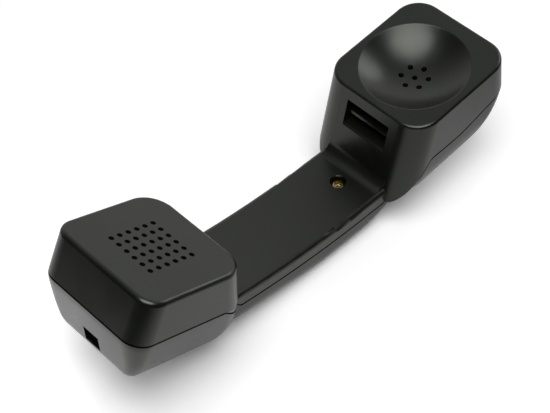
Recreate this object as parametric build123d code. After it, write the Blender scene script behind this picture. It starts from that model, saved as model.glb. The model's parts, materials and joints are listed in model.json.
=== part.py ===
from build123d import *
import os
from math import cos, radians, sin, sqrt, tan

os.makedirs("parts", exist_ok=True)

# A telephone handset lying on the back of its handle, sizes in mm.
# X runs from the mouth end to the ear end, Z is up, and the symmetry plane is Y = 0.
# The origin is on the resting surface, below the middle of the handset.

# Where the two ends stand
mouth_x = -71.4
mouth_height = 61.5
mouth_tilt = 22.0
ear_x = 71.4
ear_height = 54.5
ear_tilt = 6.5

# Shell walls, and the joint between the shells
wall = 2.4
back_wall = 2.55
face_thickness = 2.4
seam_gap = 0.9
tongue_height = 1.3
tongue_root = 1.0
tongue_thickness = 0.9
fit_gap = 0.1
running_gap = 0.03
rib_thickness = 1.5
straight_reach = 44.0

# Mouth block. Its front wall leans out to the seam, and its back wall and sides draw in below it
mouth_front = 24.9
mouth_back = 25.1
mouth_half_width = 26.6
mouth_seam_depth = 19.3
mouth_seam_end = 19.4
mouth_depth = 44.0
mouth_front_corner = 8.0
mouth_back_corner = 11.5
mouth_face_edge = 1.9
mouth_front_lean = 0.075
mouth_back_lean = 0.39
mouth_end_taper = 0.47
mouth_end_taper_start = 2.0
mouth_side_taper = 0.26
mouth_corner_taper = 0.24
mouth_side_round = 11.5
mouth_side_round_start = 25.5
mouth_back_round = 14.0
mouth_back_round_start = 26.0
mouth_end_round = 3.0
mouth_end_round_start = 39.0

# Ear block. The end wall turns under early, and its corners widen as it does
ear_front = 26.3
ear_back = 30.3
ear_half_width = 26.4
ear_depth = 40.5
ear_seam_rise = 16.0
ear_corner = 11.2
ear_face_edge = 1.3
ear_wall_slope = 0.33
ear_end_lean = 0.055
ear_side_round = 15.5
ear_side_round_start = 24.5
ear_end_round = 33.0
ear_end_round_start = 18.5
ear_corner_growth = 0.4
ear_corner_start = 16.0

# Handle
handle_width = 35.2
handle_top = 17.7
handle_bow = 385.0
handle_low_x = 25.0
handle_seam_drop = 6.5
handle_edge = 2.0
handle_back_edge = 7.0
handle_back_radius = 40.0
handle_flat_start = 0.0
handle_flat_end = 32.0
handle_top_end = 41.0
ear_root_edge = 5.0

# Ear cup and its sound holes
cup_radius = 23.1
cup_depth = 7.8
cup_wall = 1.8
cup_rim_edge = 0.8
ear_hole_diameter = 2.4
ear_hole_ring = 5.7

# Mouth sound holes, a square grid
mouth_hole_count = 6
mouth_hole_pitch = 4.2
mouth_hole_diameter = 2.2

# Hook slot in the slanted wall of the ear block
slot_width = 22.4
slot_bottom = 34.4
slot_top = 46.2
slot_reach = 50.8
slot_wall = 1.4
slot_lip = 0.8
shelf_width = 19.6
shelf_top = 40.7
shelf_thickness = 1.4
shelf_setback = 1.7

# Shell screw and its bosses
screw_x = 27.9
screw_well_diameter = 7.0
screw_well_depth = 3.8
screw_head_diameter = 5.6
screw_head_height = 2.0
screw_diameter = 3.0
screw_length = 8.0
thread_pitch = 1.0
thread_depth = 0.27
cross_width = 0.7
boss_seat = 1.7
front_boss_diameter = 10.6
back_boss_diameter = 7.6

# Snap hooks at both ends
hook_width = 6.0
hook_thickness = 1.5
hook_catch = 1.0
hook_length = 10.0
hook_root = 3.0
hook_barb = 0.6
hook_tip = 1.0
hook_clearance = 0.4
mouth_hook_y = 14.0
mouth_hook_depth = 22.6
ear_hook_y = 12.0
ear_hook_depth = 20.0

# Cord jack
jack_height = 35.4
jack_opening_width = 8.2
jack_opening_height = 8.2
jack_socket_width = 7.7
jack_socket_height = 6.9
jack_socket_depth = 10.6
jack_width = 11.6
jack_tall = 10.6
jack_length = 14.0
jack_front_x = -100.6
jack_chamfer = 1.6
jack_rib_rise = 2.0
jack_rib_setback = 1.0
jack_ledge = 2.0
jack_ledge_setback = 4.0
jack_board_thickness = 1.6
jack_board_width = 15.0
jack_board_tall = 13.0
contact_count = 4
contact_pitch = 1.27
contact_diameter = 0.45
contact_drop = 2.4
pad_radius = 0.8
pad_thickness = 0.4
pad_pitch = 2.1
board_pad_drop = 2.0

# Receiver, measured down its own axis from the plane of the ear face
receiver_radius = 17.0
receiver_front = 11.4
receiver_plate_thickness = 0.8
plate_hole_diameter = 2.0
plate_hole_rings = [(1, 0.0), (6, 4.0), (12, 8.0)]
cloth_radius = 14.4
cloth_thickness = 0.3
frame_depth = 8.0
frame_wall = 1.6
frame_floor = 1.4
ledge_drop = 2.6
ledge_inner = 13.2
ledge_thickness = 1.2
vent_ring = 12.6
vent_diameter = 2.4
surround_outer = 14.8
surround_thickness = 0.2
surround_rise = 1.0
diaphragm_radius = 10.0
diaphragm_thickness = 0.25
dome_radius = 6.2
dome_rise = 1.5
coil_radius = 6.2
coil_thickness = 0.5
coil_height = 3.2
yoke_radius = 9.6
yoke_wall = 2.0
yoke_floor = 1.4
yoke_drop = 1.8
yoke_height = 6.4
magnet_radius = 5.0
magnet_height = 3.2
pole_radius = 5.5
pole_height = 1.4
gasket_outer = 16.6
gasket_inner = 13.6
well_gap = 0.4
well_thickness = 1.5
well_depth = 23.0
well_notch_width = 12.0
terminal_board_length = 5.4
terminal_board_width = 12.0
terminal_board_thickness = 0.8
tag_size = 1.8
tag_height = 0.8
tag_pitch = 3.0
varistor_size = 2.4
varistor_height = 1.2
ear_foam_side = 16.0
ear_foam_depth = 30.0

# Microphone, measured down its own axis from the plane of the mouth face
felt_side = 26.0
felt_thickness = 1.0
felt_rim_thickness = 1.2
felt_rim_height = 1.2
capsule_radius = 4.85
capsule_length = 6.5
capsule_window = 3.0
boot_radius = 7.4
boot_lip = 1.6
capsule_board_thickness = 0.8
bracket_length = 42.0
bracket_width = 14.0
bracket_thickness = 1.6
bracket_window = 5.0
bracket_screw_spacing = 34.6
bracket_boss_diameter = 5.6
bracket_screw_diameter = 2.2
bracket_screw_length = 6.0
bracket_head_diameter = 4.2
bracket_head_height = 1.4
bracket_pitch = 0.8
capsule_pad_pitch = 3.0

# Handle weight and its tape
weight_length = 46.0
weight_width = 18.0
weight_thickness = 5.0
weight_x = -1.0
weight_y = -3.0
weight_base = 7.2
weight_rib_offset = 14.0
tape_thickness = 0.8
tape_margin = 2.0
cradle_thickness = 1.6

# Damping foam in the mouth block, by its place on the mouth face's own axes
mouth_foam_low = (4.0, -17.0)
mouth_foam_high = (18.0, 1.0)
mouth_foam_clearance = 0.8

# Inner leads and their clips
lead_diameter = 1.1
lead_pitch = 1.3
lead_y = 12.05
lead_z = 9.6
tag_lead_straight = 6.5
capsule_lead_straight = 5.0
board_lead_straight = 6.0
clip_places = [12.0, -6.0]
clip_length = 4.0
clip_wall = 1.2
clip_height = 1.4

# Sizes that follow from the ones above
half_handle = handle_width / 2
cup_ball_radius = (cup_radius**2 + cup_depth**2) / (2 * cup_depth)
screw_seat_z = handle_top - screw_well_depth
boss_joint = screw_seat_z - boss_seat
screw_tip_z = screw_seat_z - screw_length
jack_back_x = jack_front_x + jack_length
jack_low = jack_height - jack_tall / 2
board_back_x = jack_back_x + jack_board_thickness
contact_z = jack_height + jack_socket_height / 2 + 2 * contact_diameter
cloth_top = receiver_front + receiver_plate_thickness
ledge_depth = cloth_top + ledge_drop
yoke_top = ledge_depth + yoke_drop
yoke_bottom = yoke_top + yoke_height
frame_bottom = cloth_top + frame_depth
board_top = frame_bottom
tag_bottom = board_top + terminal_board_thickness + tag_height
boot_front = face_thickness + felt_thickness
capsule_front = boot_front + boot_lip
capsule_back = capsule_front + capsule_length
bracket_front = capsule_back + capsule_board_thickness
bracket_back = bracket_front + bracket_thickness
weight_top = weight_base + weight_thickness
clip_reach = lead_pitch / 2 + lead_diameter / 2 + clip_wall / 2 + fit_gap
mouth_seam_front = mouth_front + mouth_front_lean * mouth_seam_depth
lead_pad_x = board_back_x + pad_thickness
lead_turn_x = lead_pad_x + board_lead_straight
board_pad_z = jack_height - board_pad_drop

mouth_plane = Plane(
    origin=(mouth_x, 0, mouth_height),
    x_dir=(cos(radians(mouth_tilt)), 0, -sin(radians(mouth_tilt))),
    z_dir=(sin(radians(mouth_tilt)), 0, cos(radians(mouth_tilt))),
)
ear_plane = Plane(
    origin=(ear_x, 0, ear_height),
    x_dir=(cos(radians(ear_tilt)), 0, sin(radians(ear_tilt))),
    z_dir=(-sin(radians(ear_tilt)), 0, cos(radians(ear_tilt))),
)
lead_turn_depth = -mouth_plane.to_local_coords(Vector(lead_turn_x, 0, board_pad_z)).Z
mouth_foam_top = lead_turn_depth + lead_diameter / 2 + mouth_foam_clearance


def save(name, *solids):
    """Write one piece, or a group of separate solids of one kind."""
    shape = solids[0] if len(solids) == 1 else Compound(children=list(solids))
    export_step(shape, f"parts/{name}.step")


def below(depth, shape):
    """Move a shape down a face's axis, so that what stood at Z = 0 is at that depth."""
    return Pos(0, 0, -depth) * shape


def disc(radius, height):
    """A cylinder whose top is at Z = 0."""
    return Pos(0, 0, -height / 2) * Cylinder(radius, height)


def ring(outer, inner, height):
    """A ring whose top is at Z = 0."""
    return disc(outer, height) - Cylinder(inner, 4 * height)


def flat_box(length, width, height):
    """A box whose top is at Z = 0."""
    return Pos(0, 0, -height / 2) * Box(length, width, height)


def box_between(low, high):
    """A box from its lowest corner to its highest corner."""
    size = [high[i] - low[i] for i in range(3)]
    middle = [(high[i] + low[i]) / 2 for i in range(3)]
    return Pos(*middle) * Box(*size)


def rounded_outline(low, high, half_width, low_corner, high_corner):
    """A rectangle in X and Y with one corner radius at each end."""
    diagonal = 1 - sqrt(0.5)
    w = half_width
    a = low_corner
    b = high_corner
    edges = [
        Line((low + a, -w), (high - b, -w)),
        ThreePointArc((high - b, -w), (high - diagonal * b, diagonal * b - w), (high, b - w)),
        Line((high, b - w), (high, w - b)),
        ThreePointArc((high, w - b), (high - diagonal * b, w - diagonal * b), (high - b, w)),
        Line((high - b, w), (low + a, w)),
        ThreePointArc((low + a, w), (low + diagonal * a, w - diagonal * a), (low, w - a)),
        Line((low, w - a), (low, a - w)),
        ThreePointArc((low, a - w), (low + diagonal * a, diagonal * a - w), (low + a, -w)),
    ]
    return make_face(edges)


def rounding(depth, start, end, power=2.0):
    """How far a wall has turned under, from 0 at start to 1 at end, as a superellipse."""
    t = min(max((depth - start) / (end - start), 0.0), 0.9999)
    return 1 - (1 - t**power) ** (1 / power)


def corner_radius(radius, inset, half):
    """A corner's radius drawn in with its wall, short of a full half circle."""
    return min(radius - inset / 2, 0.92 * half)


def mouth_turned(depth):
    """Depth below the mouth's seam, eased in so that the walls bend gently where they start to draw in."""
    below_seam = max(0.0, depth - mouth_seam_depth)
    return below_seam**2 / (below_seam + mouth_end_taper_start)


def mouth_straight(depth, inset=0.0):
    """Section of the mouth block with its front wall running straight on."""
    below_seam = max(0.0, depth - mouth_seam_depth)
    low = -(mouth_front + mouth_front_lean * depth) + inset
    high = mouth_back + mouth_back_lean * depth - inset
    half = mouth_half_width - mouth_side_taper * below_seam - inset
    low_corner = corner_radius(mouth_front_corner, inset, half)
    high_corner = corner_radius(mouth_back_corner, inset, half)
    outline = rounded_outline(low, high, half, low_corner, high_corner)
    return mouth_plane.offset(-depth) * outline


def mouth_round(depth, inset=0.0):
    """Section of the mouth block with its back drawn in and rounded under."""
    bottom = mouth_depth - inset
    turned = mouth_turned(depth)
    lean = mouth_front_lean * min(depth, mouth_seam_depth)
    end_turn = rounding(depth, mouth_end_round_start, bottom)
    back_turn = rounding(depth, mouth_back_round_start, bottom)
    under = rounding(depth, mouth_side_round_start, bottom, 4.0)
    low = -(mouth_front + lean) + mouth_end_taper * turned + mouth_end_round * end_turn + inset
    high = mouth_back + mouth_back_lean * depth - mouth_back_round * back_turn - inset
    half = mouth_half_width - mouth_side_taper * turned - mouth_side_round * under - inset
    low_corner = corner_radius(mouth_front_corner - mouth_corner_taper * turned, inset, half)
    high_corner = corner_radius(mouth_back_corner, inset, half)
    outline = rounded_outline(low, high, half, low_corner, high_corner)
    return mouth_plane.offset(-depth) * outline


def ear_straight(depth, inset=0.0):
    """Section of the ear block with its walls running straight on."""
    low = -ear_front - ear_wall_slope * depth + inset
    high = ear_back + ear_end_lean * depth - inset
    half = ear_half_width - inset
    corner = corner_radius(ear_corner, inset, half)
    return ear_plane.offset(-depth) * rounded_outline(low, high, half, corner, corner)


def ear_round(depth, inset=0.0):
    """Section of the ear block with its back rounded under."""
    bottom = ear_depth - inset
    under = rounding(depth, ear_side_round_start, bottom, 2.4)
    end_turn = rounding(depth, ear_end_round_start, bottom)
    growth = ear_corner_growth * max(0.0, depth - ear_corner_start)
    low = -ear_front - ear_wall_slope * depth + ear_side_round * under + inset
    high = ear_back + ear_end_lean * depth - ear_end_round * end_turn - inset
    half = ear_half_width - ear_side_round * under - inset
    low_corner = corner_radius(ear_corner, inset, half)
    high_corner = corner_radius(ear_corner + growth, inset, half)
    return ear_plane.offset(-depth) * rounded_outline(low, high, half, low_corner, high_corner)


def bow(x, low_z):
    """Height of the handle's long concave curve at x, with its lowest point at low_z."""
    return low_z + handle_bow - sqrt(handle_bow**2 - (x - handle_low_x) ** 2)


def round_corners(face, corners):
    """Round the corners of a profile, each given as ((x, z), radius)."""
    for point, radius in corners:
        vertex = face.vertices().sort_by_distance((point[0], point[1], 0))[0]
        face = fillet(vertex, radius)
    return face


# The handle's back, from inside the ear block along the flat that it rests on to inside the mouth block
handle_back = [
    (ear_x - 3.4, ear_height - 40.6),
    (ear_x - 19.4, ear_height - 45.5),
    (handle_flat_end, 0),
    (handle_flat_start, 0),
    (mouth_x + 23.4, 6.9),
    (mouth_x + 5.4, 14.7),
]


def handle_solid(inset=0.0):
    """The handle bar, which runs on into both blocks."""
    start_x = mouth_x + 19.4
    middle_x = (start_x + handle_low_x) / 2
    mouth_end = (handle_back[-1][0], mouth_height - 29.5)
    ear_end = (handle_back[0][0], ear_height - 24.5)
    top_start = (start_x, bow(start_x, handle_top))
    top_low = (handle_low_x, handle_top)
    top_end = (handle_top_end, handle_top)
    edges = [
        Line(mouth_end, top_start),
        ThreePointArc(top_start, (middle_x, bow(middle_x, handle_top)), top_low),
        Line(top_low, top_end),
        Line(top_end, ear_end),
        Line(ear_end, handle_back[0]),
    ]
    edges += [Line(handle_back[i], handle_back[i + 1]) for i in range(len(handle_back) - 1)]
    edges += [Line(handle_back[-1], mouth_end)]
    face = round_corners(make_face(edges), [(point, handle_back_radius) for point in handle_back[1:-1]])
    if inset:
        face = offset(face, amount=-inset, kind=Kind.INTERSECTION)
    half = half_handle - inset
    bar = extrude(Plane.XZ * face, amount=half, both=True)

    def side_edges(shape, low, high):
        on_side = [e for e in shape.edges() if abs(abs(e.center().Y) - half) < 0.01]
        long = [e for e in on_side if e.bounding_box().size.X > 0.5]
        return [e for e in long if low < e.center().Z < high]

    if inset == 0:
        bar = fillet(side_edges(bar, handle_top - 0.8, handle_top + 4.7), handle_edge)
    return fillet(side_edges(bar, -1, inset + 0.5), handle_back_edge - inset)


def seam_region(lift, upward):
    """Everything above, or everything below, the surface where the shells meet."""
    outside = mouth_plane.from_local_coords((-2 * mouth_front, 0, -mouth_seam_depth))
    turn = mouth_plane.from_local_coords((mouth_seam_end, 0, -mouth_seam_depth))
    low_z = handle_top - handle_seam_drop + lift
    start_x = mouth_x + 26.8
    middle_x = (start_x + handle_low_x) / 2
    start = (outside.X, outside.Z + lift)
    drop = (turn.X, turn.Z + lift)
    handle_start = (start_x, bow(start_x, low_z))
    handle_end = (ear_x - 34.0, low_z)
    climb = (ear_x - 16.6, ear_height - 23.1 + lift)
    bend = (ear_x + 0.2, ear_height - 22.2 + lift)
    end = (ear_x + 2 * ear_back, bend[1] + tan(radians(ear_seam_rise)) * (ear_x + 2 * ear_back - bend[0]))
    far = 2 * mouth_height if upward else -mouth_height
    edges = [
        Line(start, drop),
        Line(drop, handle_start),
        ThreePointArc(handle_start, (middle_x, bow(middle_x, low_z)), (handle_low_x, low_z)),
        Line((handle_low_x, low_z), handle_end),
        Line(handle_end, climb),
        Line(climb, bend),
        Line(bend, end),
        Line(end, (end[0], far)),
        Line((end[0], far), (start[0], far)),
        Line((start[0], far), start),
    ]
    corners = [(drop, 2.0), (handle_start, 3.0), (handle_end, 3.0), (climb, 3.0), (bend, 40.0)]
    face = round_corners(make_face(edges), corners)
    return extrude(Plane.XZ * face, amount=2 * mouth_half_width, both=True)


def top_edges(shape, plane):
    """The edges round the face that looks along a plane's axis."""
    return shape.faces().sort_by(Axis(plane.origin, plane.z_dir))[-1].edges()


# Stations of the rounded backs, from inside the blocks down to the last thin slice
mouth_stations = [17, 19.3, 21, 23, 26, 29, 32, 35, 38, 40, 42, 43.2, 43.8, 43.99]
ear_stations = [14, 17, 20, 23, 26, 30, 33, 36, 38, 39.5, 40.3, 40.49]


def straight_form(inset=0.0):
    """Handle and blocks with straight walls, drawn in by an inset."""
    top = face_thickness if inset else 0.0
    mouth = loft([mouth_straight(d, inset) for d in (top, mouth_seam_depth, straight_reach)], ruled=True)
    ear = loft([ear_straight(d, inset) for d in (top, straight_reach)], ruled=True)
    if inset == 0:
        mouth = fillet(top_edges(mouth, mouth_plane), mouth_face_edge)
        ear = fillet(top_edges(ear, ear_plane), ear_face_edge)
    return handle_solid(inset) + mouth + ear


def round_form(inset=0.0):
    """Handle and blocks with rounded backs, drawn in by an inset."""
    mouth = loft([mouth_round(d - inset if d > 30 else d, inset) for d in mouth_stations])
    ear = loft([ear_round(d - inset if d > 29 else d, inset) for d in ear_stations])
    return handle_solid(inset) + mouth + ear


front_form = straight_form()
front_cavity = straight_form(wall)
back_form = round_form()
back_cavity = round_form(back_wall)
tongue_ring = straight_form(wall - tongue_thickness) - front_cavity
rebate_ring = straight_form(wall - tongue_thickness - fit_gap) - front_cavity


def ear_wall_x(z):
    """Where the slanted wall of the ear block stands at height z."""
    top = ear_plane.from_local_coords((-ear_front, 0, 0))
    low = ear_plane.from_local_coords((-ear_front - ear_wall_slope * straight_reach, 0, -straight_reach))
    return top.X + (low.X - top.X) * (top.Z - z) / (top.Z - low.Z)


def cup_ball(extra=0.0):
    """The ball that hollows the ear cup, or its backing when made larger."""
    return ear_plane * Pos(0, 0, cup_ball_radius - cup_depth) * Sphere(cup_ball_radius + extra)


def well_ring():
    """The round wall behind the ear cup that holds the receiver, notched for its leads."""
    inner = receiver_radius + well_gap
    start = cup_depth / 2
    body = below(start, ring(inner + well_thickness, inner, well_depth - start))
    half = well_notch_width / 2
    low = (-inner - 4, -half, -well_depth - 1)
    return ear_plane * (body - box_between(low, (-inner + 4, half, -frame_bottom)))


def hook_slot_wall():
    """The closed pocket behind the hook slot."""
    half = slot_width / 2 + slot_wall
    low = (ear_wall_x(slot_bottom) - 2, -half, slot_bottom - slot_wall)
    return box_between(low, (slot_reach + slot_wall, half, slot_top + slot_wall))


def hook_slot_space():
    """The space of the hook slot, with its lower lip cut back."""
    half = slot_width / 2
    lip_x = ear_wall_x(slot_bottom)
    space = box_between((lip_x - 4, -half, slot_bottom), (slot_reach, half, slot_top))
    lip = Polyline(
        (lip_x - slot_lip, slot_bottom - 1.6 * slot_lip),
        (lip_x + slot_lip, slot_bottom + 0.01),
        (lip_x - slot_lip, slot_bottom + 0.01),
        close=True,
    )
    return space + extrude(Plane.XZ * make_face(lip), amount=half, both=True)


def hook_shelf():
    """The plate across the pocket that a hook rests on."""
    half = shelf_width / 2
    low = (ear_wall_x(shelf_top) + shelf_setback, -half, shelf_top - shelf_thickness)
    return box_between(low, (slot_reach + slot_wall / 2, half, shelf_top))


def root_cove():
    """The hollow curve where the handle's top runs up into the slanted wall."""
    run = ear_root_edge
    foot = ear_wall_x(handle_top)
    high = (ear_wall_x(handle_top + run), handle_top + run)
    middle = (foot - 0.24 * run, handle_top + 0.27 * run)
    edges = [
        ThreePointArc((foot - run, handle_top), middle, high),
        Line(high, (foot + 1, handle_top - 1)),
        Line((foot + 1, handle_top - 1), (foot - run, handle_top - 1)),
        Line((foot - run, handle_top - 1), (foot - run, handle_top)),
    ]
    return extrude(Plane.XZ * make_face(edges), amount=half_handle - handle_edge, both=True)


def snap_hook(plane, outward, arm_out, root_out, depth, y):
    """A root on the front shell's wall, an arm down past the seam and a barb that points outward."""
    half = hook_width / 2
    arm_in = arm_out - outward * hook_thickness

    def block(u1, u2, top, bottom):
        return box_between((min(u1, u2), y - half, -bottom), (max(u1, u2), y + half, -top))

    root = block(arm_in, root_out, depth - hook_length, depth - hook_length + hook_root)
    arm = block(arm_in, arm_out, depth - hook_length, depth + hook_tip)
    barb = block(arm_out, arm_out + outward * hook_catch, depth - hook_barb, depth + hook_tip)
    return plane * (root + arm + barb)


def snap_recess(plane, outward, arm_out, root_out, depth, y):
    """The recess in the back shell's wall that a hook's barb sits in."""
    half = hook_width / 2 + 3 * fit_gap
    tip = arm_out + outward * (hook_catch + 2 * fit_gap)
    low = (min(arm_out, tip), y - half, -depth - hook_tip - 2 * fit_gap)
    high = (max(arm_out, tip), y + half, -depth + hook_barb + 2 * fit_gap)
    return plane * box_between(low, high)


def end_hooks():
    """Place of each snap hook: its arm stands just inside the back shell's end wall."""
    low_depth = mouth_hook_depth + hook_tip
    back_wall_u = mouth_seam_front - mouth_end_taper * mouth_turned(low_depth) - back_wall
    root_depth = mouth_hook_depth - hook_length
    front_wall_u = mouth_front + mouth_front_lean * root_depth - wall / 2
    mouth = (mouth_plane, -1, hook_clearance - back_wall_u, -front_wall_u, mouth_hook_depth)
    low_depth = ear_hook_depth + hook_tip
    end_turn = rounding(low_depth, ear_end_round_start, ear_depth - back_wall)
    back_wall_u = ear_back + ear_end_lean * low_depth - ear_end_round * end_turn - back_wall
    front_wall_u = ear_back + ear_end_lean * (ear_hook_depth - hook_length) - wall / 2
    ear = (ear_plane, 1, back_wall_u - hook_clearance, front_wall_u, ear_hook_depth)
    places = [(*mouth, y) for y in (-mouth_hook_y, mouth_hook_y)]
    return places + [(*ear, y) for y in (-ear_hook_y, ear_hook_y)]


hooks = end_hooks()
bracket_sides = [Pos(0, side * bracket_screw_spacing / 2, 0) for side in (-1, 1)]
weight_ribs = [weight_x - weight_rib_offset, weight_x + weight_rib_offset]


def front_furniture():
    """What stands inside the front shell: well, pocket, bosses, felt rim and hooks."""
    parts = well_ring() + hook_slot_wall()
    boss = Cylinder(front_boss_diameter / 2, handle_top - boss_joint)
    parts += Pos(screw_x, 0, (handle_top + boss_joint) / 2) * boss
    start = face_thickness / 2
    post = disc(bracket_boss_diameter / 2, bracket_front - start)
    pilot = disc(bracket_screw_diameter / 2 + running_gap, bracket_screw_length)
    for place in bracket_sides:
        parts += mouth_plane * place * below(start, post)
        parts -= mouth_plane * place * below(bracket_back - bracket_screw_length - fit_gap, pilot)
    outer = felt_side / 2 + felt_rim_thickness
    inner = felt_side / 2 + fit_gap
    rim = box_between((-outer, -outer, -face_thickness - felt_rim_height), (outer, outer, -start))
    rim -= box_between((-inner, -inner, -2 * felt_side), (inner, inner, 0))
    parts += mouth_plane * rim
    for hook in hooks:
        parts += snap_hook(*hook)
    return parts & front_form


def weight_stop(x):
    """A rib under the handle's top that keeps the weight down on its tape."""
    low = (x - rib_thickness / 2, weight_y - weight_width / 2, weight_top + fit_gap)
    high = (x + rib_thickness / 2, weight_y + weight_width / 2, bow(x, handle_top) - wall / 2)
    return box_between(low, high)


def front_shell():
    """The front shell, with both faces, the ear cup and the hook slot."""
    shell = (front_form - front_cavity) & seam_region(seam_gap / 2, True)
    shell += root_cove()
    side = 2 * (cup_radius + cup_wall)
    below_face = ear_plane * below(0, flat_box(side, side, 3 * cup_depth))
    backing = cup_ball(cup_wall) & front_form & below_face
    shell = shell + backing + front_furniture() - cup_ball()
    for x in weight_ribs:
        shell += weight_stop(x)
    rims = [e for e in shell.edges().filter_by(GeomType.CIRCLE) if abs(e.radius - cup_radius) < 0.05]
    shell = fillet(rims, cup_rim_edge)
    count = mouth_hole_count
    small_hole = Cylinder(mouth_hole_diameter / 2, 3 * face_thickness)
    for place in GridLocations(mouth_hole_pitch, mouth_hole_pitch, count, count):
        shell -= mouth_plane * place * small_hole
    ear_hole = Cylinder(ear_hole_diameter / 2, 3 * cup_wall)
    for place in [Pos(0, 0, 0)] + list(PolarLocations(ear_hole_ring, 6)):
        shell -= ear_plane * place * Pos(0, 0, -cup_depth) * ear_hole
    shell = shell - hook_slot_space() + hook_shelf()
    shell -= Pos(screw_x, 0, screw_seat_z + 10) * Cylinder(screw_well_diameter / 2, 20)
    shell -= Pos(screw_x, 0, screw_seat_z) * Cylinder(screw_diameter / 2 + running_gap, 10)
    return shell - (rebate_ring & seam_region(seam_gap / 2 + tongue_height + fit_gap, False))


def jack_block(gap=0.0):
    """The outer block of the cord jack, its lower front edge cut back."""
    half = jack_width / 2 + gap
    low = (jack_front_x - gap, -half, jack_low - gap)
    block = box_between(low, (jack_back_x + gap, half, jack_low + jack_tall + gap))
    edge = block.edges().filter_by(Axis.Y).sort_by(Axis.X)[:2].sort_by(Axis.Z)[0]
    return chamfer(edge, jack_chamfer)


def back_furniture():
    """What stands inside the back shell: boss, weight cradle, jack seat, foam seat and clips."""
    parts = Pos(screw_x, 0, boss_joint / 2) * Cylinder(back_boss_diameter / 2, boss_joint)
    length = weight_length / 2 + fit_gap
    width = weight_width / 2 + fit_gap
    t = cradle_thickness
    low = (weight_x - length - t, weight_y - width - t, 0)
    high = (weight_x + length + t, weight_y + width + t, weight_base + weight_thickness / 2)
    cradle = box_between(low, high)
    low = (weight_x - length, weight_y - width, -1)
    cradle -= box_between(low, (weight_x + length, weight_y + width, 2 * weight_top))
    for x in weight_ribs:
        low = (x - rib_thickness / 2, weight_y - width - t, 0)
        high = (x + rib_thickness / 2, weight_y + width + t, weight_base - tape_thickness)
        cradle += box_between(low, high)
    parts += cradle
    inside = jack_width / 2 + fit_gap
    for side in (-1, 1):
        ends = sorted([side * inside, side * (inside + rib_thickness)])
        back = jack_back_x - jack_rib_setback
        parts += box_between((jack_front_x, ends[0], 0), (back, ends[1], jack_height + jack_rib_rise))
        ends = sorted([side * (inside - jack_ledge), side * (inside + rib_thickness)])
        parts += box_between((jack_front_x + jack_ledge_setback, ends[0], 0), (back, ends[1], jack_low))
    cross = Box(ear_foam_side, rib_thickness, ear_depth) + Box(rib_thickness, ear_foam_side, ear_depth)
    parts += ear_plane * below(ear_foam_depth + ear_depth / 2, cross)
    for x in clip_places:
        for y in (lead_y - clip_reach, lead_y + clip_reach):
            low = (x - clip_length / 2, y - clip_wall / 2, 0)
            parts += box_between(low, (x + clip_length / 2, y + clip_wall / 2, lead_z + clip_height))
        low = (x - clip_length / 2, lead_y - clip_reach, 0)
        parts += box_between(low, (x + clip_length / 2, lead_y + clip_reach, lead_z - lead_diameter / 2))
    return parts & back_form


def back_shell():
    """The back shell, with the tongue that stands up inside the front shell."""
    shell = (back_form - back_cavity) & seam_region(-seam_gap / 2, False)
    tongue = tongue_ring & seam_region(seam_gap / 2 + tongue_height, False)
    shell += tongue & seam_region(-seam_gap / 2 - tongue_root, True)
    shell += back_furniture()
    half_width = jack_opening_width / 2
    low = (2 * mouth_x, -half_width, jack_height - jack_opening_height / 2)
    shell -= box_between(low, (jack_front_x, half_width, jack_height + jack_opening_height / 2))
    shell -= jack_block(fit_gap)
    for hook in hooks:
        shell -= snap_recess(*hook)
    pilot = disc(screw_diameter / 2 + running_gap, screw_length)
    return shell - Pos(screw_x, 0, screw_tip_z - fit_gap + screw_length) * pilot


def thread_points(radius, length, pitch):
    """Half outline of a screw's shank below its head, with ridges at the thread's pitch."""
    core = radius - thread_depth * pitch
    points = [(0, 0), (radius, 0), (radius, -pitch)]
    for turn in range(int(length / pitch) - 3):
        z = -pitch * (turn + 1)
        points += [(core, z - 0.2 * pitch), (core, z - 0.6 * pitch), (radius, z - pitch)]
    return points + [(0.3 * radius, -length), (0, -length)]


def cross_head_screw(head_diameter, head_height, diameter, length, pitch):
    """A screw with a rounded cross head, its seat at Z = 0 and its shank downward."""
    head = Pos(0, 0, head_height / 2) * Cylinder(head_diameter / 2, head_height)
    head = fillet(head.faces().sort_by(Axis.Z)[-1].edges(), 0.5 * head_height)
    outline = make_face(Polyline(*thread_points(diameter / 2, length, pitch), close=True))
    screw = head + revolve(Plane.XZ * outline, Axis.Z)
    depth = 0.7 * head_height
    wing = 0.56 * head_diameter
    cross = Box(wing, cross_width, depth) + Box(cross_width, wing, depth)
    cross &= Cone(0.12 * head_diameter, 0.5 * wing, depth)
    return screw - Pos(0, 0, head_height - depth / 2 + 0.01) * cross


def shell_screw():
    """The cross-head screw that draws the shells together."""
    screw = cross_head_screw(screw_head_diameter, screw_head_height, screw_diameter, screw_length, thread_pitch)
    return Pos(screw_x, 0, screw_seat_z) * screw


def bracket_screws():
    """The two small screws that hold the microphone bracket, their heads inward."""
    screw = cross_head_screw(
        bracket_head_diameter, bracket_head_height, bracket_screw_diameter, bracket_screw_length, bracket_pitch
    )
    return [mouth_plane * place * below(bracket_back, Rot(180, 0, 0) * screw) for place in bracket_sides]


def receiver_gasket():
    """The soft ring between the ear cup's back and the receiver."""
    start = cup_depth / 2
    soft = ear_plane * below(start, ring(gasket_outer, gasket_inner, receiver_front - start))
    return soft - cup_ball(cup_wall + fit_gap / 2)


def receiver_plate():
    """The pierced front plate of the receiver."""
    plate = disc(receiver_radius, receiver_plate_thickness)
    for count, radius in plate_hole_rings:
        for place in PolarLocations(radius, count):
            plate -= place * Cylinder(plate_hole_diameter / 2, 4 * receiver_plate_thickness)
    return ear_plane * below(receiver_front, plate)


def receiver_cloth():
    """The dust cloth glued behind the front plate."""
    return ear_plane * below(cloth_top, disc(cloth_radius, cloth_thickness))


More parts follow.
